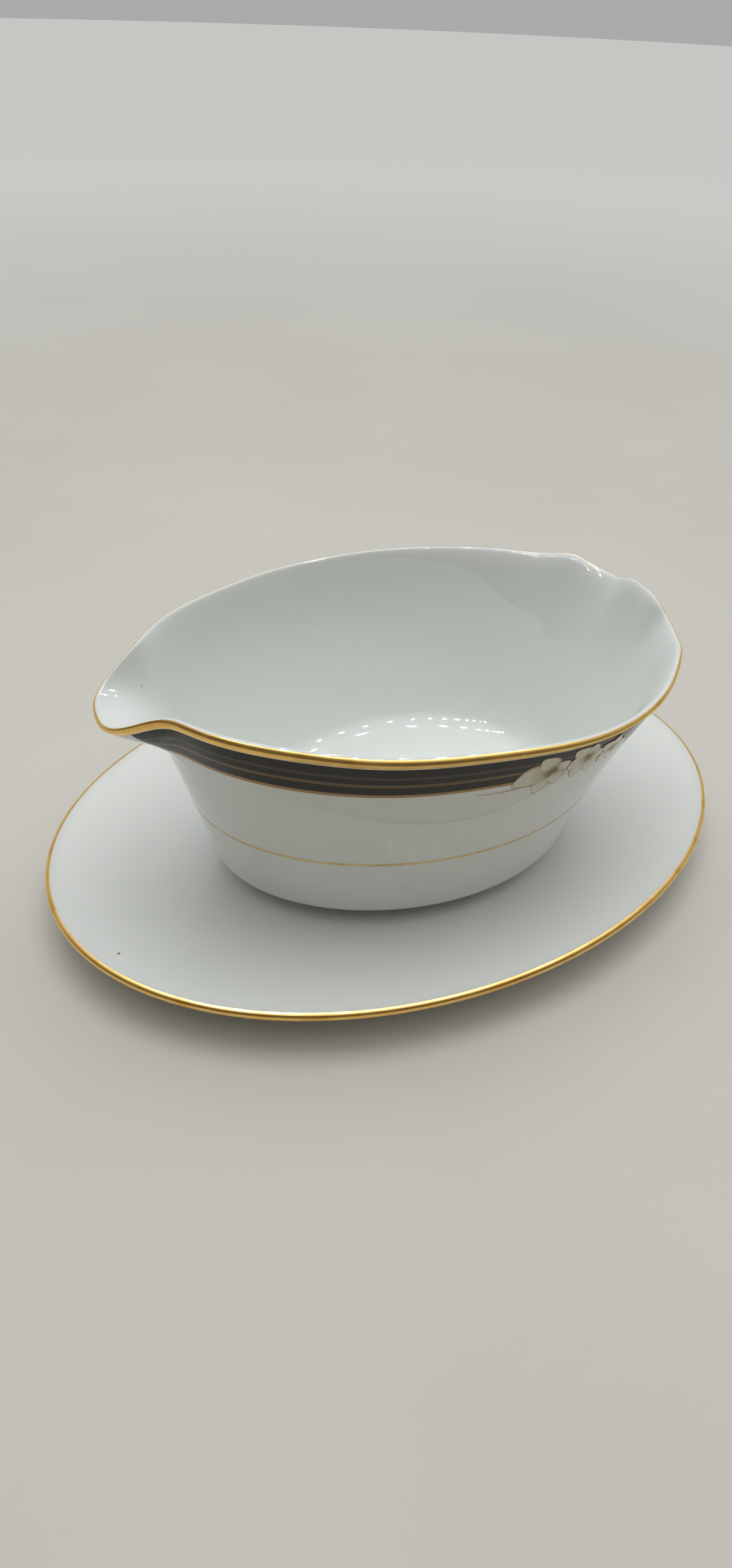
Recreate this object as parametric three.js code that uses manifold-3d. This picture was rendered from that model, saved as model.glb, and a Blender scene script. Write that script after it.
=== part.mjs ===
// Oval porcelain gravy boat with a pouring lip at each end, standing on its own oval underplate.
// Units are millimetres, +Z is up, the long axis lies along X and the narrow spout points to -X.
// The underplate stands on z = 0. Each painted or gilded layer lies in a shallow recess of the glaze.

import * as THREE from "three";
import { mergeVertices } from "three/addons/utils/BufferGeometryUtils.js";
import Module from "manifold-3d";

const wasm = await Module();
wasm.setup();

// ---------------------------------------------------------------- driving dimensions
const AROUND = 80;               // steps round every oval
const FIT_GAP = 0.3;             // clearance between neighbouring pieces
const LAYER = 0.4;               // thickness of a decoration layer
const RECESS = LAYER + 2 * FIT_GAP;  // depth of its recess, with room for the spout's oblique sides
const FOOT_LEAN = 1;             // how far a foot ring's sides lean out towards their root
const GILDED_STEPS = 3;          // steps over the gilded side of the rim
const BARE_STEPS = 4;            // steps over the rest of the rim
const WEDGE = { reach: 480, height: 200, steps: 24 };  // a cutting wedge, larger than the whole object
const SAME_POINT = 1e-4;         // closer points are one point

const PLATE = {
  halfLength: 117.5,
  halfWidth: 80.6,
  rimHeight: 17,
  wellHeight: 7.5,      // top face of the flat well
  wellReach: 64,        // half-length of the flat well
  thickness: 4.5,
  edgeThickness: 3,
  footReach: 62,        // half-length of the foot ring's outer side
  footWidth: 4,
  gildingWidth: 1.8,
  risePower: 1.7,       // how late the rim rises
  slopeSteps: [0.2, 0.4, 0.6, 0.8],  // places of the slope's rings, as shares of its width
  edgeSteps: 5,
};

const BOWL = {
  footHeight: PLATE.wellHeight + FIT_GAP,
  turnHeight: 18.4,     // where the wall has turned upright
  rimHeight: 84.4,
  wall: 3,
  lengths: [64, 12.9, 4.5],     // half-length at the turn, and its linear and square growth to the rim
  widths: [47.3, 11.4, -3.8],   // half-width, in the same way
  broadening: 0.08,     // how much wider the blunt end is than the spout end
  footReach: 49,
  footWidth: 4,
  undersideHeight: 11.3,
  underCurve: [[7, 11.9], [2.6, 14.4]],  // between foot and turn: distance in from the turn, height
  outerSteps: [28.4, 54],       // heights of two of the outer wall's rings
  innerSteps: [78, 72, 62, 52, 42, 32],  // heights of the inner wall's rings
  floorCurve: [[0.6, 24], [4, 19], [12, 16.3], [24, 15.6]],  // distance in from the wall, height
};

const LIPS = {
  flareStart: 0.2,      // share of the wall's height where the ends begin to flare
  flareEase: 1.5,
  formStart: 0.7,       // share of the wall's height where the spout and the thumb notch begin
  rise: 5.1,            // how much both ends of the rim rise
  spout: { reach: 10.7, spread: 0.179, power: 3.45, drop: 8.3 },
  spoutPinch: { depth: 1, at: 0.71, spread: 0.265, drop: 0.3 },
  blunt: { reach: 7.3, spread: 1.2, power: 3.65, drop: 8.8 },
  thumb: { reach: -2.6, spread: 0.13, power: 4, drop: -4.4 },
  shoulder: { lift: 2.3, at: 0.38, spread: 0.089 },
};

const TRIM = {
  rimGilding: 2.5,      // how far the rim's gilding reaches down the outside
  gildingTurn: 62,      // degrees over the rounded rim, from its outer face, where the gilding ends
  bandTop: 3.1,         // top and bottom of the striped band, below the rim
  bandBottom: 13.3,
  bandSteps: 4,
  hairlineHeight: 41.6,
  hairlineWidth: 1,
  lilyFrom: -82,        // the lilies' place round the bowl, in degrees of the oval
  lilyTo: -45,
  spoutGap: 8,          // degrees on each side of the spout's tip without stripes
  arcGap: 0.35,         // degrees left open beside each decal
};

const porcelain = new THREE.MeshStandardMaterial({ color: 0xeef2f1, roughness: 0.12, metalness: 0 });
const gilding = new THREE.MeshStandardMaterial({ color: 0xc9963f, roughness: 0.22, metalness: 1 });
const stripes = new THREE.MeshStandardMaterial({ color: 0x45474a, roughness: 0.3, metalness: 0 });
const lilies = new THREE.MeshStandardMaterial({ color: 0xe9e1d2, roughness: 0.3, metalness: 0 });

// ---------------------------------------------------------------- shared shape rules

const radians = THREE.MathUtils.degToRad;
const clamp01 = (value) => Math.min(1, Math.max(0, value));
const quadratic = ([start, linear, square], t) => start + linear * t + square * t * t;
const bump = (angle, { spread, power }) => Math.exp(-Math.pow(Math.abs(angle) / spread, power));
const bell = (angle, { at, spread }) => Math.exp(-Math.pow((Math.abs(angle) - at) / spread, 2));

// Half-width of the oval whose half-length is r, inside an oval of reach x (reach - spare):
// near the edge the two shrink together, and at the centre both are nothing.
function halfWidth(r, reach, spare) {
  return r - spare * Math.sin((Math.PI / 2) * Math.min(1, r / reach));
}

// Turns the profile (half-length, height) once round and lays every vertex on its oval.
function ovalBody(profile, place) {
  const lathe = new THREE.LatheGeometry(profile.map(([r, z]) => new THREE.Vector2(r, z)), AROUND);
  lathe.deleteAttribute("normal");
  lathe.deleteAttribute("uv");
  lathe.rotateX(Math.PI / 2);
  const position = lathe.getAttribute("position");
  const point = new THREE.Vector3();
  for (let i = 0; i < position.count; i += 1) {
    point.fromBufferAttribute(position, i);
    const r = Math.hypot(point.x, point.y);
    if (r > SAME_POINT) place(point, r, point.x / r, point.y / r);
    else point.set(0, 0, point.z);
    position.setXYZ(i, point.x, point.y, point.z);
  }
  return weld(lathe);
}

// Merges the seam and the pole, and drops the flat triangles that the pole leaves.
function weld(geometry) {
  const merged = mergeVertices(geometry, SAME_POINT);
  const index = merged.getIndex().array;
  const kept = [];
  for (let i = 0; i < index.length; i += 3) {
    const [a, b, c] = [index[i], index[i + 1], index[i + 2]];
    if (a !== b && b !== c && c !== a) kept.push(a, b, c);
  }
  merged.setIndex(kept);
  return merged;
}

// ---------------------------------------------------------------- underplate

function placeOnPlate(point, r, cosine, sine) {
  const { halfLength, halfWidth: width } = PLATE;
  point.x = r * cosine;
  point.y = halfWidth(r, halfLength, halfLength - width) * sine;
}

const slopeShare = (r) => clamp01((r - PLATE.wellReach) / (PLATE.halfLength - PLATE.wellReach));

// Height of the plate's top face at half-length r: a flat well, then a slow upward curve.
function plateTop(r) {
  const { wellHeight, rimHeight, risePower } = PLATE;
  return wellHeight + (rimHeight - wellHeight) * Math.pow(slopeShare(r), risePower);
}

function plateUnder(r) {
  const { thickness, edgeThickness } = PLATE;
  return plateTop(r) - thickness - (edgeThickness - thickness) * slopeShare(r);
}

// The plate's half-round edge, or the same one set in.
function plateEdge(inset) {
  const radius = PLATE.edgeThickness / 2;
  const height = PLATE.rimHeight - radius;
  const centre = PLATE.halfLength - radius;
  const points = [];
  for (let i = 0; i <= PLATE.edgeSteps; i += 1) {
    const turn = Math.PI * (i / PLATE.edgeSteps - 0.5);
    points.push([centre + (radius - inset) * Math.cos(turn), height + (radius - inset) * Math.sin(turn)]);
  }
  return points;
}

function underplateProfile() {
  const { halfLength, footReach, footWidth, wellHeight, thickness, wellReach, gildingWidth } = PLATE;
  const under = wellHeight - thickness;
  const slopeWidth = halfLength - gildingWidth - wellReach;
  const slope = PLATE.slopeSteps.map((share) => wellReach + share * slopeWidth);
  return [
    [0, under],
    [footReach - footWidth - FOOT_LEAN, under],
    [footReach - footWidth, 0],
    [footReach, 0],
    [footReach + FOOT_LEAN, under],
    ...slope.map((r) => [r, plateUnder(r)]),
    ...plateEdge(RECESS),
    ...slope.map((r) => [r, plateTop(r)]).reverse(),
    [wellReach, wellHeight],
    [wellReach / 2, wellHeight],
    [0, wellHeight],
  ];
}

function closed(profile) {
  return [...profile, profile[0]];
}

function plateGilding() {
  return ovalBody(closed([...plateEdge(0), ...plateEdge(LAYER).reverse()]), placeOnPlate);
}

// ---------------------------------------------------------------- bowl

const wallShare = (z) => (z - BOWL.turnHeight) / (BOWL.rimHeight - BOWL.turnHeight);
const bowlLength = (z) => quadratic(BOWL.lengths, Math.max(0, wallShare(z)));
const bowlWidth = (z) => quadratic(BOWL.widths, Math.max(0, wallShare(z)));

// The ends flare slowly with height. The spout and the thumb notch form late, in an S curve.
function growth(z) {
  const flare = clamp01((wallShare(z) - LIPS.flareStart) / (1 - LIPS.flareStart));
  const form = clamp01((wallShare(z) - LIPS.formStart) / (1 - LIPS.formStart));
  return { flare: Math.pow(flare, LIPS.flareEase), form: form * form * (3 - 2 * form) };
}

// How far the wall stands out beyond the plain oval, at a turn from the blunt end.
function lipReach({ flare, form }, fromBlunt, fromSpout) {
  const formed = LIPS.spout.reach * bump(fromSpout, LIPS.spout)
    - LIPS.spoutPinch.depth * bell(fromSpout, LIPS.spoutPinch)
    + LIPS.thumb.reach * bump(fromBlunt, LIPS.thumb);
  return form * formed + flare * LIPS.blunt.reach * bump(fromBlunt, LIPS.blunt);
}

// How far the wall is lifted there.
function lipLift({ flare, form }, fromBlunt, fromSpout) {
  const formed = LIPS.shoulder.lift * bell(fromBlunt, LIPS.shoulder)
    - LIPS.spout.drop * bump(fromSpout, LIPS.spout)
    - LIPS.spoutPinch.drop * bell(fromSpout, LIPS.spoutPinch)
    - LIPS.thumb.drop * bump(fromBlunt, LIPS.thumb);
  const flared = LIPS.rise * Math.cos(fromBlunt) ** 2
    - LIPS.blunt.drop * bump(fromBlunt, LIPS.blunt);
  return form * formed + flare * flared;
}

function placeOnBowl(point, r, cosine, sine) {
  const reach = bowlLength(point.z);
  const across = halfWidth(r, reach, reach - bowlWidth(point.z));
  const x = r * cosine;
  const y = across * sine * (1 + BOWL.broadening * cosine);
  const fromBlunt = Math.atan2(y, x);
  const fromSpout = Math.PI - Math.abs(fromBlunt);
  const grown = growth(point.z);
  const stretch = 1 + lipReach(grown, fromBlunt, fromSpout) / Math.hypot(x, y);
  point.x = x * stretch;
  point.y = y * stretch;
  point.z += lipLift(grown, fromBlunt, fromSpout);
}

// A point of the outer wall at height z, or one set in from it.
const outerWall = (z, inset = 0) => [bowlLength(z) - inset, z];
const below = (drop) => BOWL.rimHeight - drop;

function bandHeights() {
  const { bandTop, bandBottom, bandSteps } = TRIM;
  const heights = [];
  for (let i = 0; i <= bandSteps; i += 1) {
    heights.push(below(bandBottom + ((bandTop - bandBottom) * i) / bandSteps));
  }
  return heights;
}

// The rounded lip: from its outer foot over the top to the inner face.
function rimArc(inset, from, to, steps) {
  const radius = BOWL.wall / 2;
  const centre = bowlLength(BOWL.rimHeight) - radius;
  const points = [];
  for (let i = 0; i <= steps; i += 1) {
    const turn = radians(from + ((to - from) * i) / steps);
    points.push([centre + (radius - inset) * Math.cos(turn),
      below(radius) + (radius - inset) * Math.sin(turn)]);
  }
  return points;
}

function bowlProfile() {
  const { footHeight, footReach, footWidth, undersideHeight, turnHeight, wall } = BOWL;
  const turn = bowlLength(turnHeight);
  const hairLow = TRIM.hairlineHeight - TRIM.hairlineWidth / 2 - FIT_GAP;
  const hairHigh = TRIM.hairlineHeight + TRIM.hairlineWidth / 2 + FIT_GAP;
  const band = bandHeights();
  const bandLow = band[0] - FIT_GAP;
  const recessTurn = TRIM.gildingTurn + THREE.MathUtils.radToDeg(FIT_GAP / (wall / 2));
  const [lowRing, middleRing] = BOWL.outerSteps;
  return [
    [0, undersideHeight],
    [footReach - footWidth - FOOT_LEAN, undersideHeight],
    [footReach - footWidth, footHeight],
    [footReach, footHeight],
    [footReach + FOOT_LEAN, undersideHeight - FOOT_LEAN],
    ...BOWL.underCurve.map(([inset, z]) => [turn - inset, z]),
    [turn, turnHeight],
    outerWall(lowRing),
    outerWall(hairLow),
    outerWall(hairLow, RECESS),
    outerWall(hairHigh, RECESS),
    outerWall(hairHigh),
    outerWall(middleRing),
    outerWall(bandLow),
    outerWall(bandLow, RECESS),
    ...band.map((z) => outerWall(z, RECESS)),
    outerWall(below(TRIM.rimGilding + FIT_GAP), RECESS),
    ...rimArc(RECESS, 0, recessTurn, GILDED_STEPS),
    ...rimArc(0, recessTurn, 180, BARE_STEPS),
    ...BOWL.innerSteps.map((z) => outerWall(z, wall)),
    ...BOWL.floorCurve.map(([inset, z]) => [turn - wall - inset, z]),
    [0, BOWL.floorCurve.at(-1)[1]],
  ];
}

function bowlRimGilding() {
  const foot = below(TRIM.rimGilding);
  return ovalBody(closed([
    outerWall(foot),
    ...rimArc(0, 0, TRIM.gildingTurn, GILDED_STEPS),
    ...rimArc(LAYER, TRIM.gildingTurn, 0, GILDED_STEPS),
    outerWall(foot, LAYER),
  ]), placeOnBowl);
}

function hairline() {
  const { hairlineHeight, hairlineWidth } = TRIM;
  const low = hairlineHeight - hairlineWidth / 2;
  const high = hairlineHeight + hairlineWidth / 2;
  return ovalBody(closed([
    outerWall(low),
    outerWall(high),
    outerWall(high, LAYER),
    outerWall(low, LAYER),
  ]), placeOnBowl);
}

// ---------------------------------------------------------------- band and lilies

function bandRing() {
  const heights = bandHeights();
  return ovalBody(closed([
    ...heights.map((z) => outerWall(z)),
    ...heights.map((z) => outerWall(z, LAYER)).reverse(),
  ]), placeOnBowl);
}

const toManifold = (geometry) => new wasm.Manifold(new wasm.Mesh({
  numProp: 3,
  vertProperties: new Float32Array(geometry.getAttribute("position").array),
  triVerts: new Uint32Array(geometry.getIndex().array),
}));

function fromManifold(solid) {
  const mesh = solid.getMesh();
  const geometry = new THREE.BufferGeometry();
  geometry.setAttribute("position", new THREE.Float32BufferAttribute(mesh.vertProperties, 3));
  geometry.setIndex(Array.from(mesh.triVerts));
  return geometry;
}

// A tall wedge from the axis outward, between two directions in degrees.
function wedge(from, to) {
  const { reach, height, steps } = WEDGE;
  const [start, end] = [radians(from), radians(to)];
  const shape = new THREE.Shape();
  shape.moveTo(0, 0);
  shape.lineTo(reach * Math.cos(start), reach * Math.sin(start));
  shape.absarc(0, 0, reach, start, end, false);
  shape.closePath();
  const extrusion = { depth: height, bevelEnabled: false, curveSegments: steps };
  const solid = new THREE.ExtrudeGeometry(shape, extrusion);
  solid.deleteAttribute("normal");
  solid.deleteAttribute("uv");
  return toManifold(weld(solid));
}

function arcOfBand(from, to) {
  const ring = toManifold(bandRing());
  return fromManifold(ring.intersect(wedge(from + TRIM.arcGap, to - TRIM.arcGap)));
}

// ---------------------------------------------------------------- assembly

function piece(name, geometry, material) {
  const mesh = new THREE.Mesh(geometry, material);
  mesh.name = name;
  return mesh;
}

const underplate = new THREE.Group();
underplate.add(
  piece("underplate", ovalBody(underplateProfile(), placeOnPlate), porcelain),
  piece("underplate_rim_gilding", plateGilding(), gilding),
);

const boat = new THREE.Group();
boat.add(
  piece("bowl", ovalBody(bowlProfile(), placeOnBowl), porcelain),
  piece("bowl_rim_gilding", bowlRimGilding(), gilding),
  piece("bowl_hairline", hairline(), gilding),
  piece("front_spout_band", arcOfBand(180 + TRIM.spoutGap, TRIM.lilyFrom + 360), stripes),
  piece("back_spout_band", arcOfBand(TRIM.lilyTo + 180, 180 - TRIM.spoutGap), stripes),
  piece("blunt_end_band", arcOfBand(TRIM.lilyTo, TRIM.lilyFrom + 180), stripes),
  piece("front_lily_decal", arcOfBand(TRIM.lilyFrom, TRIM.lilyTo), lilies),
  piece("back_lily_decal", arcOfBand(TRIM.lilyFrom + 180, TRIM.lilyTo + 180), lilies),
);

const gravyBoat = new THREE.Group();
gravyBoat.add(underplate, boat);

export default gravyBoat;
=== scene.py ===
"""An oval porcelain gravy boat with a pouring lip at each end, standing on its own underplate.

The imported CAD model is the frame. Each piece made here is the fine surface of one CAD node.
Shapes are worked out in millimetres, and mesh_of() turns them into metres.
"""

import math
from types import SimpleNamespace as Sizes

import bmesh
import bpy
import numpy as np
from mathutils import Matrix, Vector


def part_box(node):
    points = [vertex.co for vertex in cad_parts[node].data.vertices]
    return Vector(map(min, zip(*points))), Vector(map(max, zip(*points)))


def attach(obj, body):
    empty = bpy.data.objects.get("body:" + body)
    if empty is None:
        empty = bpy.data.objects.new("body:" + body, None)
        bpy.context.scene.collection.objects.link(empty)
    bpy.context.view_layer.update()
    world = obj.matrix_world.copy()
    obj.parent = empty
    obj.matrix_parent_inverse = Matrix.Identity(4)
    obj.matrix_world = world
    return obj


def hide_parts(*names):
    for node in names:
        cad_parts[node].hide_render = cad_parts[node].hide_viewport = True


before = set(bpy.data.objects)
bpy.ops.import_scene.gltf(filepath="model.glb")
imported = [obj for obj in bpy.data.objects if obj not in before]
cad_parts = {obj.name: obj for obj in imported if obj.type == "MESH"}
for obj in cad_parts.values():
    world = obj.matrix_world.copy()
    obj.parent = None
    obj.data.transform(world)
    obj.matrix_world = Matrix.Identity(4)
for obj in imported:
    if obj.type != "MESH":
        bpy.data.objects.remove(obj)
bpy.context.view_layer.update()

MM = 0.001


def cad_box(node):
    """Lowest and highest corner of a CAD node, in millimetres."""
    low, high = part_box(node)
    return Vector(low) / MM, Vector(high) / MM


# ------------------------------------------------------------------ driving dimensions

gilt_low, gilt_high = cad_box("underplate_rim_gilding")
hair_low, hair_high = cad_box("bowl_hairline")
bowl_low, _ = cad_box("bowl")

AROUND = 448          # steps round a whole oval
SAME_POINT = 1e-4     # closer points of an outline are one point
SUNK = 0.05           # how far the glaze lies under the decoration's outer face
SKIN = 0.2            # thickness of a gold line, most of it inside the porcelain
FILM = 0.03           # how far a transfer stands above the glaze
GOLD_STEPS = 12       # steps over the gilded side of the bowl's rim

# The foot rings of both castings have the same fillets and rounding.
FOOT = Sizes(
    inner_fillet=2.4,       # how far the fillets reach beyond the ring, on the inner and outer side
    outer_fillet=1.5,
    inner_pull=(0.7, 0.3),  # inner fillet's handles, from its corner: along the underside, down the side
    outer_pull=(0.4, 0.1),  # outer fillet's: down the side and out from it, down from the underside
    edge_height=1.3,        # height over which the sides turn into the standing face
    lean=0.15,              # how far the sides have leant in at that height
    rounding=0.9,           # how far in from the sides the standing face's handles lie
    steps=6,
)

PLATE = Sizes(
    half_length=(gilt_high.x - gilt_low.x) / 2,
    half_width=(gilt_high.y - gilt_low.y) / 2,
    rim_height=gilt_high.z,
    well_height=7.5,
    well_reach=64,
    well_blend=0.5,       # how far inside the well's reach its flat part starts
    thickness=4.5,
    edge_thickness=3,
    foot_reach=62,
    foot_width=4,
    rise_power=1.7,
    gilding_turn=-60,     # where the gold starts on the half-round edge: degrees above its outermost line
    under_steps=10,       # how finely the outline's stretches are divided, in their order
    slope_steps=40,
    edge_steps=14,
    well_steps=16,
)

BOWL = Sizes(
    foot_height=bowl_low.z,
    turn_height=18.4,
    rim_height=84.4,
    wall=3,
    lengths=(64, 12.9, 4.5),      # half-length at the turn, and its linear and square growth
    widths=(47.3, 11.4, -3.8),    # half-width, in the same way
    broadening=0.08,              # how much wider the blunt end is than the spout end
    foot_reach=49,
    foot_width=4,
    underside_height=11.3,
    root_drop=0.7,                # how much lower the underside is outside the foot ring
    turn_pull=(7.4, 1.1, 5.4),    # handles of the turn: in along the underside, in and down the wall
    floor_height=15.6,
    floor_reach=40,
    floor_turn=32,
    floor_pull=(2.3, 11.5, 7),    # handles of the inner turn: in and down the wall, in along the floor
    lip_slope=7,                  # height over which the inner wall curves out to the rim's top
    under_steps=10,               # how finely the outline's stretches are divided, in their order
    turn_steps=14,
    outer_steps=48,
    rim_steps=10,
    lip_steps=15,
    inner_steps=36,
    floor_turn_steps=18,
    floor_steps=12,
)

# Of both lips, at and spread are angles from the middle of that end, in radians.
LIPS = Sizes(
    flare_start=0.2,      # share of the wall's height where the ends begin to flare
    flare_ease=1.5,
    form_start=0.7,       # share of the wall's height where the spout and the thumb notch begin
    inner_start=0.58,     # the same on the inner wall
    outer_depth=1,        # the wall follows the outer shape down to this depth under its face
    rise=5.1,
    spout=Sizes(reach=10.7, spread=0.179, power=3.45, drop=8.3),
    spout_pinch=Sizes(depth=1, at=0.71, spread=0.265, drop=0.3),
    blunt=Sizes(reach=7.3, spread=1.2, power=3.65, drop=8.8),
    thumb=Sizes(reach=-2.6, spread=0.13, power=4, drop=-4.4),
    shoulder=Sizes(lift=2.3, at=0.38, spread=0.089),
)

TRIM = Sizes(
    rim_gilding=2.9,        # how far the gold reaches down from the rim's top
    gilding_turn=62,        # degrees from the outer face over the rounded rim
    hairline_height=(hair_low.z + hair_high.z) / 2,
    hairline_width=1.0,
    band_top=3.1,
    band_bottom=13.3,
    band_behind_lilies=8.6,
    stripe_rows=28,
    stripe_pitch=0.8,       # degrees of the oval between two columns of points
    lily_start=-84.0,       # degrees of the oval, near the first blossom's outermost tip
    lily_length=40.0,       # along the wall, from the first tip to the last
    lily_overlap=4.0,       # how far the stripes reach in under the lilies at each side
    degrees_per_mm=1 / 1.4,
    spout_gap=13,           # degrees of the oval on each side of the spout's tip without stripes
)


# ------------------------------------------------------------------ outlines in (half-length, height)

def arc(centre, radius, start, end, steps):
    turns = np.radians(np.linspace(start, end, steps + 1))
    return [(centre[0] + radius * math.cos(t), centre[1] + radius * math.sin(t)) for t in turns]


def curve(start, pull_start, pull_end, end, steps):
    """A cubic curve with its two handles."""
    points = []
    for t in np.linspace(0, 1, steps + 1):
        weights = ((1 - t) ** 3, 3 * t * (1 - t) ** 2, 3 * t * t * (1 - t), t ** 3)
        ends = (start, pull_start, pull_end, end)
        points.append(tuple(sum(w * p[k] for w, p in zip(weights, ends)) for k in (0, 1)))
    return points


def line(start, end, steps):
    return [tuple(np.add(start, np.subtract(end, start) * t)) for t in np.linspace(0, 1, steps + 1)]


def joined(*stretches):
    """One outline from stretches that share their end points."""
    points = list(stretches[0])
    for stretch in stretches[1:]:
        points += [p for p in stretch if math.dist(p, points[-1]) > SAME_POINT]
    return points


def foot_ring(inner, outer, root_inner, root_outer, bottom):
    """A rounded foot ring from the underside's height down to its standing face and back up."""
    middle = ((inner + outer) / 2, bottom)
    inner_side = (inner + FOOT.lean, bottom + FOOT.edge_height)
    outer_side = (outer - FOOT.lean, bottom + FOOT.edge_height)
    along, down = FOOT.inner_pull
    out, under = FOOT.outer_pull
    return joined(
        curve((inner - FOOT.inner_fillet, root_inner), (inner - along, root_inner),
              (inner, root_inner - down), inner_side, FOOT.steps),
        curve(inner_side, (inner + 2 * FOOT.lean, bottom), (inner + FOOT.rounding, bottom),
              middle, FOOT.steps),
        curve(middle, (outer - FOOT.rounding, bottom), (outer - 2 * FOOT.lean, bottom),
              outer_side, FOOT.steps),
        curve(outer_side, (outer, root_outer - out), (outer + out, root_outer - under),
              (outer + FOOT.outer_fillet, root_outer), FOOT.steps),
    )


# ------------------------------------------------------------------ shape of the underplate

def half_width(r, reach, spare):
    """Half-width of the oval whose half-length is r, inside an oval of reach by (reach - spare)."""
    return r - spare * np.sin(np.pi / 2 * np.minimum(1, r / reach))


def place_on_plate(r, z, turn):
    y = half_width(r, PLATE.half_length, PLATE.half_length - PLATE.half_width)
    return np.stack([r * np.cos(turn), y * np.sin(turn), z], axis=-1)


def plate_share(r):
    return min(1, max(0, (r - PLATE.well_reach) / (PLATE.half_length - PLATE.well_reach)))


def plate_top(r):
    return PLATE.well_height + (PLATE.rim_height - PLATE.well_height) * plate_share(r) ** PLATE.rise_power


def plate_under(r):
    thickness = PLATE.thickness + (PLATE.edge_thickness - PLATE.thickness) * plate_share(r)
    return plate_top(r) - thickness


def plate_edge(inset, start=-90):
    """The half-round edge, or the same one set in, from a turn in degrees up to its top."""
    radius = PLATE.edge_thickness / 2
    centre = (PLATE.half_length - radius, PLATE.rim_height - radius)
    return arc(centre, radius - inset, start, 90, PLATE.edge_steps)


def plate_outline():
    under = PLATE.well_height - PLATE.thickness
    foot_inner = PLATE.foot_reach - PLATE.foot_width
    edge = PLATE.half_length - PLATE.edge_thickness / 2
    slope = np.linspace(PLATE.foot_reach + FOOT.outer_fillet, edge, PLATE.slope_steps)[1:-1]
    well_edge = (PLATE.well_reach - PLATE.well_blend, PLATE.well_height)
    return joined(
        line((0, under), (foot_inner - FOOT.inner_fillet, under), PLATE.under_steps),
        foot_ring(foot_inner, PLATE.foot_reach, under, under, 0),
        [(r, plate_under(r)) for r in slope],
        plate_edge(SUNK),
        [(r, plate_top(r)) for r in reversed(slope)],
        line(well_edge, (0, PLATE.well_height), PLATE.well_steps),
    )


def plate_gilding_outline():
    return plate_edge(0, PLATE.gilding_turn) + plate_edge(SKIN, PLATE.gilding_turn)[::-1]


# ------------------------------------------------------------------ shape of the bowl

def wall_share(z):
    return (z - BOWL.turn_height) / (BOWL.rim_height - BOWL.turn_height)


def grown_with_height(start, linear, square, z):
    share = np.maximum(0, wall_share(z))
    return start + linear * share + square * share * share


def bowl_length(z):
    return grown_with_height(*BOWL.lengths, z)


def bowl_width(z):
    return grown_with_height(*BOWL.widths, z)


def bump(angle, lip):
    return np.exp(-(np.abs(angle) / lip.spread) ** lip.power)


def bell(angle, lip):
    return np.exp(-((np.abs(angle) - lip.at) / lip.spread) ** 2)


def progress(value, start, end=1):
    """From 0 to 1 as a value passes from start to end."""
    return np.clip((value - start) / (end - start), 0, 1)


def growth(z, inset):
    """How far the flare and the lips' form have grown at a height, and at an inset from the outer face.

    The ends flare slowly with height. The spout and the thumb notch form late, in an S curve outside
    and as one even sweep inside.
    """
    share = wall_share(z)
    outer = progress(share, LIPS.form_start)
    inner = progress(share, LIPS.inner_start)
    inward = progress(inset, LIPS.outer_depth, BOWL.wall)
    form = (1 - inward) * outer * outer * (3 - 2 * outer) + inward * inner * inner
    return progress(share, LIPS.flare_start) ** LIPS.flare_ease, form


def lip_reach(flare, form, from_blunt, from_spout):
    """How far the wall stands out beyond the plain oval."""
    formed = (LIPS.spout.reach * bump(from_spout, LIPS.spout)
              - LIPS.spout_pinch.depth * bell(from_spout, LIPS.spout_pinch)
              + LIPS.thumb.reach * bump(from_blunt, LIPS.thumb))
    return form * formed + flare * LIPS.blunt.reach * bump(from_blunt, LIPS.blunt)


def lip_lift(flare, form, from_blunt, from_spout):
    """How far the wall is lifted there."""
    formed = (LIPS.shoulder.lift * bell(from_blunt, LIPS.shoulder)
              - LIPS.spout.drop * bump(from_spout, LIPS.spout)
              - LIPS.spout_pinch.drop * bell(from_spout, LIPS.spout_pinch)
              - LIPS.thumb.drop * bump(from_blunt, LIPS.thumb))
    flared = LIPS.rise * np.cos(from_blunt) ** 2 - LIPS.blunt.drop * bump(from_blunt, LIPS.blunt)
    return form * formed + flare * flared


def place_on_bowl(r, z, turn):
    """Lays (half-length, height) points on their ovals, and grows the lips towards the rim."""
    reach = bowl_length(z)
    across = half_width(r, reach, reach - bowl_width(z))
    x = r * np.cos(turn)
    y = across * np.sin(turn) * (1 + BOWL.broadening * np.cos(turn))
    from_blunt = np.arctan2(y, x)
    from_spout = np.pi - np.abs(from_blunt)
    flare, form = growth(z, reach - r)
    stretch = 1 + lip_reach(flare, form, from_blunt, from_spout) / np.hypot(x, y)
    lift = lip_lift(flare, form, from_blunt, from_spout)
    return np.stack([x * stretch, y * stretch, z + lift], axis=-1)


def outer_wall(z, inset):
    return (bowl_length(z) - inset, z)


def rim_arc(inset, start, end, steps):
    radius = BOWL.wall / 2
    centre = (bowl_length(BOWL.rim_height) - radius, BOWL.rim_height - radius)
    return arc(centre, radius - inset, start, end, steps)


def inner_lip():
    """From the rim's top a quarter ellipse down to the inner wall, which makes the lip look thin."""
    top = BOWL.rim_height - SUNK
    aside = BOWL.wall / 2 - SUNK
    points = []
    for turn in np.linspace(0, np.pi / 2, BOWL.lip_steps + 1):
        drop = BOWL.lip_slope * (1 - math.cos(turn))
        share = drop / BOWL.lip_slope
        face = bowl_length(BOWL.rim_height) * (1 - share) + bowl_length(top - BOWL.lip_slope) * share
        points.append((face - BOWL.wall / 2 - aside * math.sin(turn), top - drop))
    return points


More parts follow.
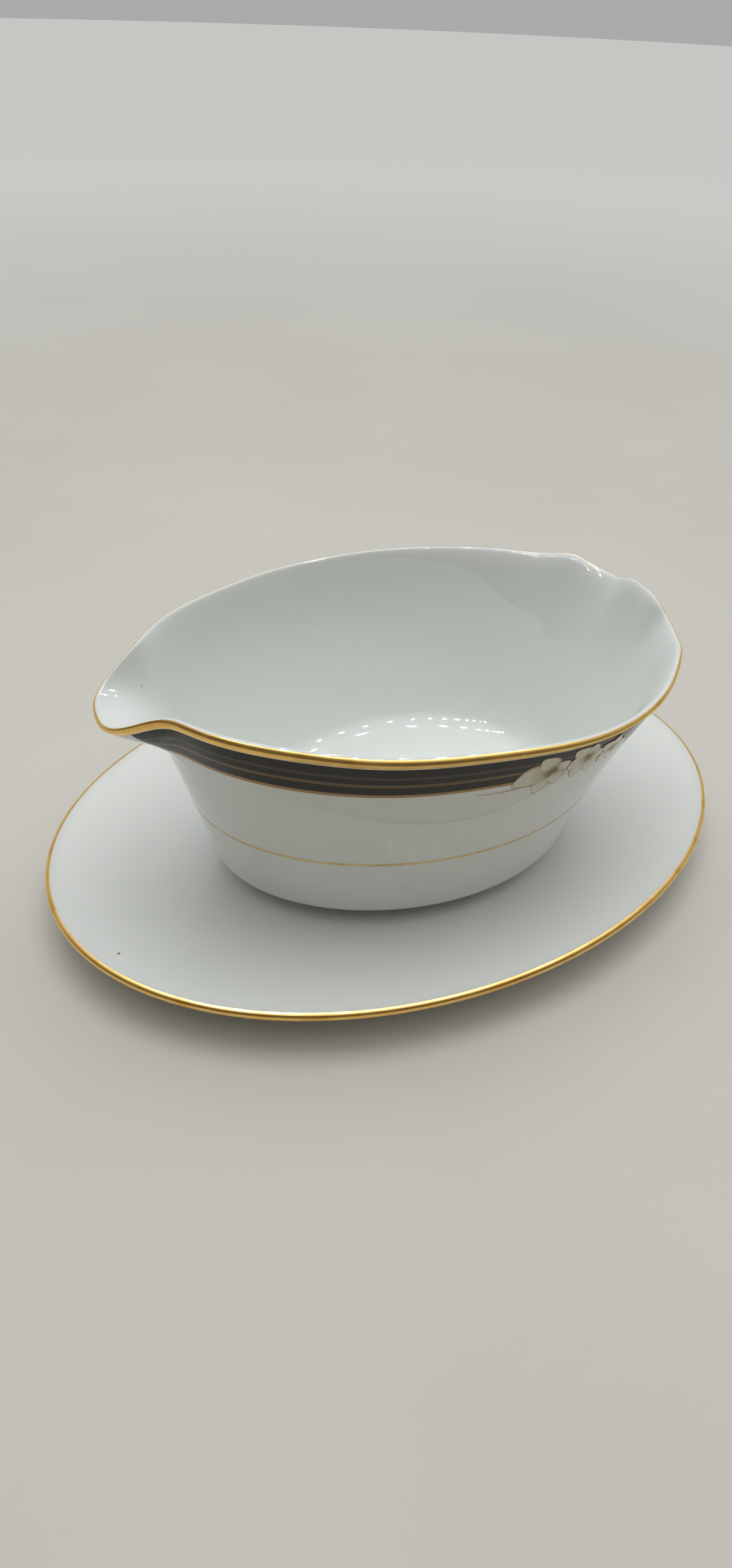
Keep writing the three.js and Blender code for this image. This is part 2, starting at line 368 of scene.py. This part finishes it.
def bowl_outline():
    foot_inner = BOWL.foot_reach - BOWL.foot_width
    under = BOWL.underside_height
    root = (BOWL.foot_reach + FOOT.outer_fillet, under - BOWL.root_drop)
    turn = outer_wall(BOWL.turn_height, SUNK)
    along, aside, down = BOWL.turn_pull
    rim_foot = BOWL.rim_height - BOWL.wall / 2
    inner_top = BOWL.rim_height - SUNK - BOWL.lip_slope
    inner_foot = outer_wall(BOWL.floor_turn, BOWL.wall)
    inner_aside, inner_down, inner_along = BOWL.floor_pull
    floor_edge = (BOWL.floor_reach, BOWL.floor_height)
    inner_heights = np.linspace(inner_top, BOWL.floor_turn, BOWL.inner_steps)[1:]
    return joined(
        line((0, under), (foot_inner - FOOT.inner_fillet, under), BOWL.under_steps),
        foot_ring(foot_inner, BOWL.foot_reach, under, root[1], BOWL.foot_height),
        curve(root, (turn[0] - along, under), (turn[0] - aside, turn[1] - down), turn, BOWL.turn_steps),
        [outer_wall(z, SUNK) for z in np.linspace(BOWL.turn_height, rim_foot, BOWL.outer_steps)],
        rim_arc(SUNK, 0, 90, BOWL.rim_steps),
        inner_lip(),
        [outer_wall(z, BOWL.wall - SUNK) for z in inner_heights],
        curve(inner_foot, (inner_foot[0] - inner_aside, inner_foot[1] - inner_down),
              (inner_foot[0] - inner_along, BOWL.floor_height), floor_edge, BOWL.floor_turn_steps),
        line(floor_edge, (0, BOWL.floor_height), BOWL.floor_steps),
    )


def rim_gilding_outline():
    foot = BOWL.rim_height - TRIM.rim_gilding
    return ([outer_wall(foot, 0)] + rim_arc(0, 0, TRIM.gilding_turn, GOLD_STEPS)
            + rim_arc(SKIN, TRIM.gilding_turn, 0, GOLD_STEPS) + [outer_wall(foot, SKIN)])


def hairline_outline():
    low = TRIM.hairline_height - TRIM.hairline_width / 2
    high = TRIM.hairline_height + TRIM.hairline_width / 2
    face = SUNK - FILM
    return [outer_wall(low, face), outer_wall(high, face), outer_wall(high, SKIN), outer_wall(low, SKIN)]


# ------------------------------------------------------------------ meshes

def mesh_of(name, points, faces, crease=35, films=False):
    """A smooth-shaded object from points in millimetres, with edges sharper than crease kept sharp."""
    mesh = bpy.data.meshes.new(name)
    mesh.from_pydata((np.asarray(points) * MM).tolist(), [], faces)
    if films:
        face_outward(mesh)
    mesh.shade_smooth()
    mesh.set_sharp_from_angle(angle=math.radians(crease))
    thing = bpy.data.objects.new(name, mesh)
    bpy.context.scene.collection.objects.link(thing)
    return thing


def face_outward(mesh):
    work = bmesh.new()
    work.from_mesh(mesh)
    bmesh.ops.recalc_face_normals(work, faces=work.faces)
    work.to_mesh(mesh)
    work.free()


def quads(rows, columns, around=False, closed=False, start=0):
    """Faces of a grid of points. Its columns meet again if it goes around, its rows if it is closed."""
    faces = []
    for i in range(rows if closed else rows - 1):
        a, b = start + i * columns, start + (i + 1) % rows * columns
        for k in range(columns if around else columns - 1):
            after = (k + 1) % columns
            faces.append((a + k, a + after, b + after, b + k))
    return faces


def rings_of(outline, place):
    """An outline turned once round its oval: one ring of points for each of its points."""
    r, z = np.array(outline).T[:, :, None]
    turn = np.linspace(0, 2 * np.pi, AROUND, endpoint=False)
    return place(r + 0 * turn, z + 0 * turn, turn + 0 * r).reshape(-1, 3)


def turned(name, outline, place):
    """Turns an outline, which starts and ends on the axis, once round its oval."""
    rings = rings_of(outline[1:-1], place)
    points = np.vstack([rings, (0, 0, outline[0][1]), (0, 0, outline[-1][1])])
    first, last = len(rings), len(rings) + 1
    top = len(rings) - AROUND
    faces = quads(len(outline) - 2, AROUND, around=True)
    for k in range(AROUND):
        after = (k + 1) % AROUND
        faces.append((first, after, k))
        faces.append((last, top + k, top + after))
    return mesh_of(name, points, faces)


def ring(name, outline, place):
    """Turns a closed outline once round its oval."""
    return mesh_of(name, rings_of(outline, place), quads(len(outline), AROUND, around=True, closed=True))


def on_wall(turn, drop, proud):
    """Points on the bowl's outer wall: degrees round the oval, millimetres below the rim."""
    z = BOWL.rim_height - drop
    return place_on_bowl(bowl_length(z) + proud, z, np.radians(turn))


def skin(turn, drop, proud):
    """Points and faces of a closed film on the wall, over grids of turn, drop and height above it."""
    rows, columns = turn.shape
    outer = on_wall(turn, drop, proud - SUNK)
    inner = on_wall(turn, drop, -SUNK - FILM)
    points = np.vstack([outer.reshape(-1, 3), inner.reshape(-1, 3)])
    count = rows * columns
    front = quads(rows, columns)
    back = [tuple(reversed(face)) for face in quads(rows, columns, start=count)]
    border = ([(0, k) for k in range(columns)]
              + [(i, columns - 1) for i in range(1, rows)]
              + [(rows - 1, k) for k in range(columns - 2, -1, -1)]
              + [(i, 0) for i in range(rows - 2, 0, -1)])
    loop = [i * columns + k for i, k in border]
    sides = [(there, here, here + count, there + count) for here, there in zip(loop, loop[1:] + loop[:1])]
    return points, front + back + sides


def band_grid(start, end, bottom, rows, columns):
    """Grids of turn and drop over a stretch of the striped band."""
    drops = np.linspace(TRIM.band_top, bottom, rows)
    drop, turn = np.meshgrid(drops, np.linspace(start, end, columns), indexing="ij")
    return turn, drop


def add_attribute(thing, name, values):
    layer = thing.data.attributes.new(name, "FLOAT", "POINT")
    layer.data.foreach_set("value", np.asarray(values, dtype=np.float32))


# ------------------------------------------------------------------ lilies

# Each blossom has its throat's place and its petals' tips, as millimetres along the wall from
# TRIM.lily_start and millimetres below the rim. Each tip has its petal's half-width and sideways bend.
BLOSSOMS = [
    ((12.0, 10.6), [
        ((8.0, 19.6), 3.6, 0.6),
        ((14.6, 17.4), 2.9, -0.6),
        ((-0.6, 14.2), 4.3, 0.9),
        ((7.0, 5.0), 3.4, 0.3),
        ((16.8, 8.2), 2.2, 0.0),
    ]),
    ((23.2, 8.6), [
        ((20.2, 16.8), 3.2, 0.5),
        ((26.2, 16.4), 3.0, -0.6),
        ((16.8, 12.2), 3.2, 0.5),
        ((17.0, 4.4), 2.9, 0.2),
        ((29.4, 9.2), 2.5, 0.0),
        ((23.4, 3.2), 2.4, 0.2),
    ]),
    ((32.6, 9.2), [
        ((29.6, 14.4), 2.5, 0.4),
        ((35.0, 15.2), 2.6, -0.4),
        ((27.6, 6.2), 2.4, 0.2),
        ((32.6, 4.0), 2.2, 0.2),
        ((39.4, 11.0), 2.6, -0.5),
    ]),
]

PETAL = Sizes(
    rows=18,
    columns=11,
    swell_start=0.06,     # part of half a sine wave that gives the petal's width, from throat to tip
    swell_length=0.935,
    swell_ease=0.85,
    fullness=0.75,
)

RIBBON = Sizes(
    line=((-11.0, 15.2), (-6.0, 16.2), (1.0, 16.0), (6.0, 14.6)),
    half_width=0.5,
    thin_end=0.15,        # share of the width that is left at its far end
    columns=5,
    tone=(0.5, 0.86),     # where the petals' colours give the ribbon's: along and across a petal
)

# Heights above the glaze, in films, so that each petal lies over the one before.
LAYERS = Sizes(ribbon=1.2, first_petal=2, step=0.5, crown=1.5)

STRIPES_BEHIND = Sizes(rows=16, columns=40)


def petal(throat, tip, width, bend):
    """Grids of (along, drop, u, v): u runs from the throat to the tip, v from side to side."""
    u, v = np.meshgrid(np.linspace(0, 1, PETAL.rows), np.linspace(-1, 1, PETAL.columns), indexing="ij")
    throat, tip = np.array(throat), np.array(tip)
    axis = tip - throat
    aside = np.array([-axis[1], axis[0]]) / np.linalg.norm(axis)
    wave = PETAL.swell_start + PETAL.swell_length * u ** PETAL.swell_ease
    swell = np.sin(np.pi * wave) ** PETAL.fullness
    middle = throat + axis * u[..., None] + aside * (bend * np.sin(np.pi * u))[..., None]
    place = middle + aside * (v * width * swell)[..., None]
    return place[..., 0], place[..., 1], u, v


def ribbon():
    """Grids of (along, drop) for the fine line that trails from the first blossom."""
    middle = np.array(curve(*RIBBON.line, PETAL.rows - 1))
    u, v = np.meshgrid(np.linspace(0, 1, PETAL.rows), np.linspace(-1, 1, RIBBON.columns), indexing="ij")
    width = RIBBON.half_width * (RIBBON.thin_end + (1 - RIBBON.thin_end) * u)
    return middle[:, 0:1] + 0 * v, middle[:, 1:2] + v * width


def behind_lilies(quarter=0):
    """The two turns of the oval between which the stripes pass behind the lilies."""
    overlap = TRIM.lily_overlap
    start = TRIM.lily_start + quarter
    return (start + overlap * TRIM.degrees_per_mm,
            start + (TRIM.lily_length - overlap) * TRIM.degrees_per_mm)


def lilies(name, quarter):
    """One group of three blossoms, with the upper stripes behind it, turned by quarter degrees."""
    points, faces, kinds = [], [], []
    values = {"drop": [], "along": [], "across": []}

    def add(turn, drop, proud, u, v, kind):
        more, more_faces = skin(turn, drop, proud)
        shift = sum(len(p) for p in points)
        points.append(more)
        faces.extend(tuple(k + shift for k in face) for face in more_faces)
        kinds.extend([kind] * len(more_faces))
        for key, grid in (("drop", drop), ("along", u), ("across", v)):
            values[key].append(np.tile(grid.ravel(), 2))

    def turn_at(along):
        return TRIM.lily_start + quarter + along * TRIM.degrees_per_mm

    petals_kind, stripes_kind = 0, 1
    turn, drop = band_grid(*behind_lilies(quarter), TRIM.band_behind_lilies, STRIPES_BEHIND.rows,
                           STRIPES_BEHIND.columns)
    flat = np.zeros(turn.shape)
    add(turn, drop, flat + FILM, flat, flat, stripes_kind)
    along, drop = ribbon()
    flat = np.zeros(along.shape)
    add(turn_at(along), drop, flat + LAYERS.ribbon * FILM, flat + RIBBON.tone[0], flat + RIBBON.tone[1],
        petals_kind)
    layer = LAYERS.first_petal
    for throat, petals in BLOSSOMS:
        for tip, width, bend in petals:
            along, drop, u, v = petal(throat, tip, width, bend)
            crown = FILM * (layer + LAYERS.crown * (1 - v * v) * np.sin(np.pi * u))
            add(turn_at(along), drop, crown, u, v, petals_kind)
            layer += LAYERS.step
    thing = mesh_of(name, np.vstack(points), faces, films=True)
    for key, grids in values.items():
        add_attribute(thing, key, np.concatenate(grids))
    thing.data.polygons.foreach_set("material_index", kinds)
    return thing


# ------------------------------------------------------------------ materials

MOST_NOISE = (0.3, 0.7)     # nearly all values of a noise lie in this range


class Nodes:
    """A material's node tree with one Principled shader, and short ways to add to it."""

    def __init__(self, name, **sockets):
        self.material = bpy.data.materials.new(name)
        self.material.use_nodes = True
        self.tree = self.material.node_tree
        self.shader = self.tree.nodes["Principled BSDF"]
        for socket, value in sockets.items():
            self.shader.inputs[socket.replace("_", " ")].default_value = value

    def add(self, kind, **settings):
        node = self.tree.nodes.new(kind)
        for key, value in settings.items():
            setattr(node, key, value)
        return node

    def link(self, out, into):
        self.tree.links.new(out, into)

    def place(self):
        """The point in the object's own metres."""
        return self.add("ShaderNodeTexCoord").outputs["Object"]

    def noise(self, scale, detail, rough=0.5):
        noise = self.add("ShaderNodeTexNoise")
        noise.inputs["Scale"].default_value = scale
        noise.inputs["Detail"].default_value = detail
        noise.inputs["Roughness"].default_value = rough
        self.link(self.place(), noise.inputs["Vector"])
        return noise.outputs["Fac"]

    def attribute(self, name):
        return self.add("ShaderNodeAttribute", attribute_name=name).outputs["Fac"]

    def spread(self, value, low, high, new_low=0.0, new_high=1.0, smooth=False):
        """Maps low..high of a value onto new_low..new_high."""
        node = self.add("ShaderNodeMapRange", interpolation_type="SMOOTHSTEP" if smooth else "LINEAR")
        for key, number in zip(("From Min", "From Max", "To Min", "To Max"), (low, high, new_low, new_high)):
            node.inputs[key].default_value = number
        self.link(value, node.inputs["Value"])
        return node.outputs["Result"]

    def math(self, operation, first, second=None):
        node = self.add("ShaderNodeMath", operation=operation)
        for value, socket in zip((first, second), node.inputs):
            if isinstance(value, (int, float)):
                socket.default_value = value
            elif value is not None:
                self.link(value, socket)
        return node.outputs[0]

    def mix(self, share, first, second):
        node = self.add("ShaderNodeMix", data_type="RGBA")
        self.link(share, node.inputs["Factor"])
        for value, socket in ((first, node.inputs[6]), (second, node.inputs[7])):
            if isinstance(value, tuple):
                socket.default_value = (*value, 1)
            else:
                self.link(value, socket)
        return node.outputs[2]

    def ramp(self, value, stops, constant=False):
        node = self.add("ShaderNodeValToRGB")
        node.color_ramp.interpolation = "CONSTANT" if constant else "LINEAR"
        stones = node.color_ramp.elements
        while len(stones) < len(stops):
            stones.new(0.5)
        for stone, (place, colour) in zip(stones, stops):
            stone.position = place
            stone.color = (*colour, 1)
        self.link(value, node.inputs["Fac"])
        return node.outputs["Color"]

    def clouds(self, noise, first, second):
        """Soft patches of two colours."""
        return self.ramp(noise, list(zip(MOST_NOISE, (first, second))))

    def colour(self, colour):
        self.link(colour, self.shader.inputs["Base Color"])

    def roughness(self, noise, low, high):
        """Roughness that varies between two values with a noise."""
        self.link(self.spread(noise, *MOST_NOISE, low, high), self.shader.inputs["Roughness"])

    def bump(self, height, strength, distance):
        node = self.add("ShaderNodeBump")
        node.inputs["Strength"].default_value = strength
        node.inputs["Distance"].default_value = distance
        self.link(height, node.inputs["Height"])
        self.link(node.outputs["Normal"], self.shader.inputs["Normal"])


def speck_mask(m, cells, share, radius):
    """White inside small specks: a share of the cells holds one, each of that radius in metres."""
    cell = m.add("ShaderNodeTexVoronoi")
    cell.inputs["Scale"].default_value = cells
    m.link(m.place(), cell.inputs["Vector"])
    tone = m.add("ShaderNodeSeparateColor")
    m.link(cell.outputs["Color"], tone.inputs["Color"])
    chosen = m.math("GREATER_THAN", tone.outputs["Red"], 1 - share)
    inside = m.spread(cell.outputs["Distance"], radius * cells, 0.5 * radius * cells, smooth=True)
    return m.math("MULTIPLY", chosen, inside)


def porcelain_material():
    """Clear gloss glaze over pale porcelain, with a few brown specks from the firing."""
    cool, warm, speck = (0.79, 0.82, 0.80), (0.83, 0.85, 0.835), (0.20, 0.13, 0.08)
    m = Nodes("glazed_porcelain", Specular_IOR_Level=0.6, Subsurface_Weight=0.12, Subsurface_Scale=0.002)
    m.shader.inputs["Subsurface Radius"].default_value = (1.0, 0.9, 0.8)
    body = m.clouds(m.noise(scale=9, detail=2), cool, warm)
    m.colour(m.mix(speck_mask(m, cells=80, share=0.22, radius=0.0007), body, speck))
    m.roughness(m.noise(scale=60, detail=4), 0.012, 0.035)
    m.bump(m.noise(scale=26, detail=1.5), strength=0.05, distance=0.002)
    return m.material


def gold_material(name, tone, worn):
    """Fired gold with slightly worn patches."""
    m = Nodes(name, Metallic=0.82)
    patches = m.spread(m.noise(scale=120, detail=3), 0.45, 0.75, smooth=True)
    m.colour(m.mix(patches, tone, worn))
    m.roughness(m.noise(scale=140, detail=2), 0.20, 0.30)
    m.bump(m.noise(scale=220, detail=1.5), strength=0.02, distance=0.0002)
    return m.material


def stripe_material():
    """Charcoal bars with fine tan lines between them. Each starts at its distance below the rim."""
    charcoal, grey, tan = (0.008, 0.006, 0.004), (0.070, 0.056, 0.038), (0.17, 0.105, 0.05)
    edge, dust = (0.46, 0.28, 0.11), (0.06, 0.05, 0.04)
    bars = ((3.0, charcoal), (5.9, grey), (6.8, charcoal), (8.6, tan), (9.6, charcoal), (12.3, edge))
    low, high = bars[0][0], TRIM.band_bottom
    m = Nodes("striped_transfer", Specular_IOR_Level=0.45)
    wander = m.spread(m.noise(scale=700, detail=2), 0.0, 1.0, -0.09, 0.09)
    drop = m.math("ADD", m.attribute("drop"), wander)
    stops = [((at - low) / (high - low), tone) for at, tone in bars]
    colour = m.ramp(m.spread(drop, low, high), stops, constant=True)
    grain = m.spread(m.noise(scale=1500, detail=4, rough=0.7), 0.35, 0.75, 0.0, 0.16)
    m.colour(m.mix(grain, colour, dust))
    m.roughness(m.noise(scale=900, detail=3), 0.12, 0.22)
    m.bump(m.noise(scale=1200, detail=2), strength=0.03, distance=0.0001)
    return m.material


def lily_material():
    """Pale petals with a tan outline, faint veins and a brown and olive throat."""
    sand, cream, olive = (0.70, 0.68, 0.58), (0.80, 0.79, 0.71), (0.50, 0.46, 0.28)
    vein, brown, outline = (0.40, 0.31, 0.18), (0.20, 0.13, 0.05), (0.44, 0.25, 0.11)
    m = Nodes("lily_transfer", Specular_IOR_Level=0.55)
    along = m.attribute("along")
    across = m.math("ABSOLUTE", m.attribute("across"))

    body = m.clouds(m.noise(scale=300, detail=3), sand, cream)
    shaded = m.mix(m.spread(along, 0.62, 0.10, smooth=True), body, olive)

    waves = m.math("SINE", m.math("MULTIPLY", across, 12.0))
    veins = m.math("MULTIPLY", m.spread(waves, 0.75, 1.0), m.spread(along, 0.9, 0.2))
    veined = m.mix(m.math("MULTIPLY", veins, 0.35), shaded, vein)

    ragged = m.math("ADD", along, m.spread(m.noise(scale=900, detail=4), 0.0, 1.0, -0.12, 0.12))
    throated = m.mix(m.spread(ragged, 0.30, 0.08, smooth=True), veined, brown)

    sides = m.spread(across, 0.76, 0.93, smooth=True)
    tip = m.spread(along, 0.91, 0.98, smooth=True)
    strength = m.spread(m.noise(scale=500, detail=3), 0.3, 0.6, 0.45, 1.0)
    m.colour(m.mix(m.math("MULTIPLY", m.math("MAXIMUM", sides, tip), strength), throated, outline))
    m.roughness(m.noise(scale=800, detail=3), 0.12, 0.22)
    m.bump(m.noise(scale=1200, detail=2), strength=0.03, distance=0.0001)
    return m.material


def floor_material():
    """Pale board, a little warmer near the object, with painted light that makes it lighter far from it,
    most visibly behind it.
    """
    # The third colour is painted light: a near-white tone for the far floor, standing in for the brightly
    # lit backdrop.
    dark, light, far_painted_light = (0.64, 0.62, 0.57), (0.68, 0.665, 0.615), (0.93, 0.93, 0.92)
    m = Nodes("pale_floor", Roughness=0.75, Specular_IOR_Level=0.2)
    near = m.clouds(m.noise(scale=6, detail=5), dark, light)
    away = m.add("ShaderNodeVectorMath", operation="LENGTH")
    m.link(m.place(), away.inputs[0])
    # Painted light: the board blends towards the near-white tone with distance from the object.
    m.colour(m.mix(m.spread(away.outputs["Value"], 0.35, 1.3, smooth=True), near, far_painted_light))
    return m.material


PORCELAIN = porcelain_material()
GOLD = gold_material("burnished_gold", (1.0, 0.64, 0.20), (0.86, 0.46, 0.10))
LINE_GOLD = gold_material("matt_gold_line", (0.72, 0.52, 0.24), (0.52, 0.37, 0.16))
STRIPES = stripe_material()
LILIES = lily_material()


# ------------------------------------------------------------------ pieces

def finished(thing, body, node, slot, *materials):
    for material in materials:
        thing.data.materials.append(material)
    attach(thing, body)
    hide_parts(node)


def make_underplate():
    plate = turned("plate_porcelain", plate_outline(), place_on_plate)
    finished(plate, "underplate", "underplate", "porcelain", PORCELAIN)
    gilt = ring("plate_edge_gold", plate_gilding_outline(), place_on_plate)
    finished(gilt, "underplate", "underplate_rim_gilding", "gilding", GOLD)


def make_bowl():
    bowl = turned("bowl_porcelain", bowl_outline(), place_on_bowl)
    finished(bowl, "boat", "bowl", "porcelain", PORCELAIN)
    rim = ring("bowl_rim_gold", rim_gilding_outline(), place_on_bowl)
    finished(rim, "boat", "bowl_rim_gilding", "gilding", GOLD)
    hair = ring("bowl_gold_hairline", hairline_outline(), place_on_bowl)
    finished(hair, "boat", "bowl_hairline", "gilding", LINE_GOLD)


def make_band(name, node, start, end):
    """A stretch of the striped band, between two turns of the oval."""
    columns = int(abs(end - start) / TRIM.stripe_pitch)
    turn, drop = band_grid(start, end, TRIM.band_bottom, TRIM.stripe_rows, columns)
    points, faces = skin(turn, drop, np.full(turn.shape, FILM))
    band = mesh_of(name, points, faces, films=True)
    add_attribute(band, "drop", np.tile(drop.ravel(), 2))
    finished(band, "boat", node, "charcoal_stripes", STRIPES)


def make_decoration():
    first, last = behind_lilies()
    gap = TRIM.spout_gap
    make_band("front_spout_stripes", "front_spout_band", 180 + gap, first + 360)
    make_band("back_spout_stripes", "back_spout_band", last + 180, 180 - gap)
    make_band("blunt_end_stripes", "blunt_end_band", last, first + 180)
    for side, quarter in (("front", 0), ("back", 180)):
        blossoms = lilies(f"{side}_lilies", quarter)
        finished(blossoms, "boat", f"{side}_lily_decal", "lily_enamel", LILIES, STRIPES)


make_underplate()
make_bowl()
make_decoration()


# ------------------------------------------------------------------ stage, lights and camera

# Lengths from here on are in metres, but for the camera's lens.
FLOOR = Sizes(rings=(0.3, 1.0, 4.0), steps=96, gap=0.0001)
LEDS = Sizes(reach=(-0.16, 0.20), rows=(-0.06, 0.05), height=0.34, pitch=0.030, size=0.0026, strength=600)
SOFTBOX = Sizes(place=(0.06, 0.14, 0.72), size=(0.62, 0.55), power=1.55, colour=(0.985, 1.0, 0.995))
SKY = Sizes(
    side=(0.40, 0.41, 0.405),
    open_side=(0.040, 0.026, 0.0),
    open_direction=(-0.40, -0.90, -0.45),
    open_range=(-0.45, 0.34),     # cosines between which the side blends into the open side
    overhead=(1.35, 1.35, 1.34),
    overhead_direction=(0.08, 0.05, 1.0),
    overhead_range=(0.65, 0.97),
)
VIEW = Sizes(
    azimuth=-23.85,
    elevation=42.81,
    roll=2.34,
    distance=0.3167,
    lens=20.96,
    aside=-0.0098,
    up=0.0062,
    clip_start=0.01,
)


def make_floor():
    """A wide round floor just under the foot ring."""
    turn = np.linspace(0, 2 * np.pi, FLOOR.steps, endpoint=False)
    points = [(0.0, 0.0, 0.0)]
    points += [(r * math.cos(t), r * math.sin(t), 0.0) for r in FLOOR.rings for t in turn]
    faces = [(0, 1 + k, 1 + (k + 1) % FLOOR.steps) for k in range(FLOOR.steps)]
    faces += quads(len(FLOOR.rings), FLOOR.steps, around=True, start=1)
    floor = mesh_of("floor", np.array(points) / MM, faces)
    floor.location.z = -FLOOR.gap
    floor.data.materials.append(floor_material())


def make_led_rows():
    """Two rows of small lights overhead, seen only as sparkles in the glaze and the gold."""
    points, faces = [], []
    for y in LEDS.rows:
        for x in np.arange(*LEDS.reach, LEDS.pitch):
            start = len(points)
            for dx, dy in ((-1, -1), (-1, 1), (1, 1), (1, -1)):
                points.append((x + dx * LEDS.size, y + dy * LEDS.size, LEDS.height))
            faces.append((start, start + 1, start + 2, start + 3))
    rows = mesh_of("led_rows", np.array(points) / MM, faces)
    glow = Nodes("led_glow")
    light = glow.add("ShaderNodeEmission")
    light.inputs["Strength"].default_value = LEDS.strength
    glow.link(light.outputs[0], glow.tree.nodes["Material Output"].inputs["Surface"])
    rows.data.materials.append(glow.material)
    rows.visible_camera = False
    rows.visible_diffuse = False
    rows.visible_shadow = False


def make_softbox():
    """A soft light from above that isn't seen in the glaze, where the overhead sky stands in for it."""
    data = bpy.data.lights.new("overhead_softbox", "AREA")
    data.shape = "RECTANGLE"
    data.size, data.size_y = SOFTBOX.size
    data.energy = SOFTBOX.power
    data.color = SOFTBOX.colour
    light = bpy.data.objects.new("overhead_softbox", data)
    light.location = SOFTBOX.place
    light.rotation_mode = "QUATERNION"
    light.rotation_quaternion = (-Vector(SOFTBOX.place)).to_track_quat("-Z", "Y")
    light.visible_glossy = False
    bpy.context.scene.collection.objects.link(light)


def make_world():
    """Grey all round, bright overhead, and dark and warm on the side that is open to the room."""
    world = bpy.data.worlds.new("studio")
    world.use_nodes = True
    tree = world.node_tree
    where = tree.nodes.new("ShaderNodeTexCoord")

    def towards(direction, low, high):
        """From 0 to 1 as the sky's direction turns towards the given one."""
        facing = tree.nodes.new("ShaderNodeVectorMath")
        facing.operation = "DOT_PRODUCT"
        facing.inputs[1].default_value = Vector(direction).normalized()
        share = tree.nodes.new("ShaderNodeMapRange")
        share.interpolation_type = "SMOOTHSTEP"
        share.inputs["From Min"].default_value = low
        share.inputs["From Max"].default_value = high
        tree.links.new(where.outputs["Generated"], facing.inputs[0])
        tree.links.new(facing.outputs["Value"], share.inputs["Value"])
        return share.outputs["Result"]

    def blended(share, second):
        """A mix whose first colour is still to be set, and whose second is given."""
        tone = tree.nodes.new("ShaderNodeMix")
        tone.data_type = "RGBA"
        tree.links.new(share, tone.inputs["Factor"])
        tone.inputs[7].default_value = (*second, 1)
        return tone

    sides = blended(towards(SKY.open_direction, *SKY.open_range), SKY.open_side)
    sides.inputs[6].default_value = (*SKY.side, 1)
    sky = blended(towards(SKY.overhead_direction, *SKY.overhead_range), SKY.overhead)
    tree.links.new(sides.outputs[2], sky.inputs[6])
    tree.links.new(sky.outputs[2], tree.nodes["Background"].inputs["Color"])
    bpy.context.scene.world = world


def make_camera():
    """Looks at the plate's centre, a little to its left and above it, with a slight roll."""
    a, e, roll = (math.radians(v) for v in (VIEW.azimuth, VIEW.elevation, VIEW.roll))
    ahead = Vector((-math.sin(a) * math.cos(e), math.cos(a) * math.cos(e), -math.sin(e)))
    level = Vector((math.cos(a), math.sin(a), 0))
    upright = level.cross(ahead)
    right = level * math.cos(roll) + upright * math.sin(roll)
    up = upright * math.cos(roll) - level * math.sin(roll)
    target = Vector((0, 0, PLATE.rim_height * MM))
    place = target + right * VIEW.aside + up * VIEW.up - ahead * VIEW.distance
    data = bpy.data.cameras.new("camera")
    data.lens = VIEW.lens
    data.clip_start = VIEW.clip_start
    camera = bpy.data.objects.new("camera", data)
    turn = Matrix((right, up, -ahead)).transposed().to_4x4()
    camera.matrix_world = Matrix.Translation(place) @ turn
    bpy.context.scene.collection.objects.link(camera)
    bpy.context.scene.camera = camera


make_floor()
make_led_rows()
make_softbox()
make_world()
make_camera()
bpy.context.scene.view_settings.view_transform = "Standard"
